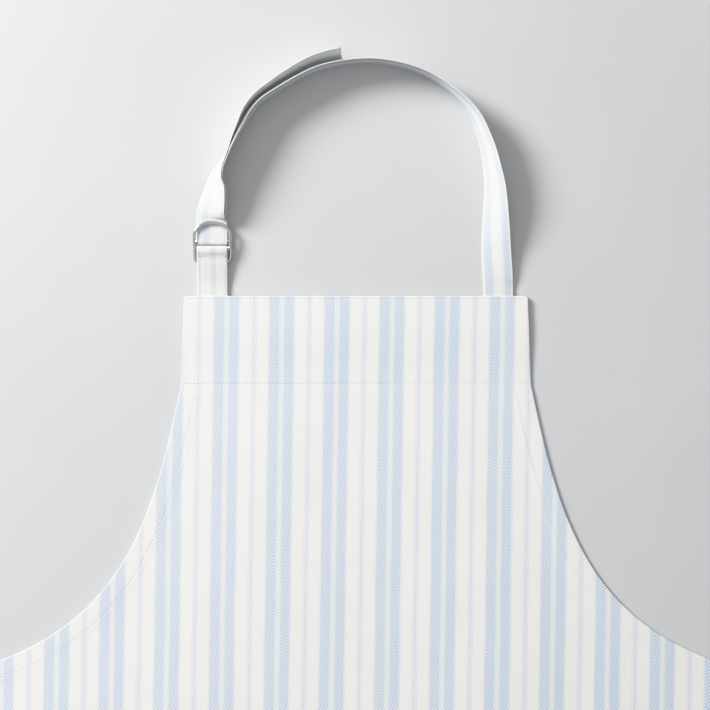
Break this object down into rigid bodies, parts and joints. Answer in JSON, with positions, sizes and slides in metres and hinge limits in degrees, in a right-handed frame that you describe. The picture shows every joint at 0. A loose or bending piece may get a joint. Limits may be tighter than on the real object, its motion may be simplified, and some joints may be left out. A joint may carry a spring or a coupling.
{
  "type": "butcher apron",
  "caption": "Bib apron in striped ticking with an adjustable neck strap on paired D-rings and two sewn waist ties, laid flat.",
  "frame": {"origin": "on the surface that the apron lies on, at the middle of the back of the bib's facing", "axes": "+Y up the apron towards the neck, +X to the right seen from the front, +Z out of the front face; the apron lies on its back"},
  "size_m": [0.754, 1.0454, 0.0242],
  "materials": {
    "ticking": "woven cotton ticking, cream with pale blue stripes",
    "ticking_reverse": "turned cotton ticking, matte",
    "strap_tape": "folded and pressed ticking tape",
    "tie_tape": "folded and pressed ticking tape",
    "ring_nickel": "bright nickel plate",
    "sewing_thread": "spun cotton thread"
  },
  "bodies": {
    "apron_body": {"front_panel": "ticking", "top_facing": "ticking_reverse", "armhole_hem_left": "ticking_reverse", "armhole_hem_right": "ticking_reverse", "side_hem_left": "ticking_reverse", "side_hem_right": "ticking_reverse", "bottom_hem": "ticking_reverse", "ring_loop_sewn_end": "strap_tape", "neck_strap_sewn_end": "strap_tape", "waist_tie_sewn_end_left": "tie_tape", "waist_tie_sewn_end_right": "tie_tape", "thread_bib_top": "sewing_thread", "thread_facing": "sewing_thread", "thread_bottom_hem": "sewing_thread", "thread_armhole_left": "sewing_thread", "thread_armhole_right": "sewing_thread", "thread_side_left": "sewing_thread", "thread_side_right": "sewing_thread", "thread_tie_tack_left": "sewing_thread", "thread_tie_tack_right": "sewing_thread"},
    "neck_loop": {"ring_loop_tape": "strap_tape", "neck_strap": "strap_tape"},
    "front_ring": {"d_ring_front": "ring_nickel"},
    "back_ring": {"d_ring_back": "ring_nickel"},
    "loose_tail": {"strap_tail": "strap_tape", "strap_end_hem": "strap_tape"},
    "left_tie": {"waist_tie_tab_left": "tie_tape", "waist_tie_corner_fold_left": "tie_tape", "waist_tie_left": "tie_tape", "tie_end_hem_left": "tie_tape"},
    "right_tie": {"waist_tie_tab_right": "tie_tape", "waist_tie_corner_fold_right": "tie_tape", "waist_tie_right": "tie_tape", "tie_end_hem_right": "tie_tape"}
  },
  "joints": [
    {"name": "neck_loop_fold", "type": "hinge", "parent": "apron_body", "child": "neck_loop", "pos_m": [0, 0.0358, 0.0024], "axis": [1, 0, 0], "range_deg": [0, 130]},
    {"name": "front_ring_lift", "type": "hinge", "parent": "neck_loop", "child": "front_ring", "pos_m": [-0.1145, 0.0727, 0.00555], "axis": [1, 0, 0], "range_deg": [0, 120]},
    {"name": "back_ring_lift", "type": "hinge", "parent": "neck_loop", "child": "back_ring", "pos_m": [-0.1145, 0.0631, 0.00245], "axis": [1, 0, 0], "range_deg": [0, 2]},
    {"name": "tail_swing", "type": "hinge", "parent": "neck_loop", "child": "loose_tail", "pos_m": [-0.0981, 0.1614, 0.012], "axis": [0, 0, 1], "range_deg": [0, 35]},
    {"name": "left_tie_fold", "type": "hinge", "parent": "apron_body", "child": "left_tie", "pos_m": [-0.3456, -0.286, 0.0024], "axis": [0, 1, 0], "range_deg": [0, 120]},
    {"name": "right_tie_fold", "type": "hinge", "parent": "apron_body", "child": "right_tie", "pos_m": [0.3456, -0.286, 0.0024], "axis": [0, -1, 0], "range_deg": [0, 120]}
  ]
}
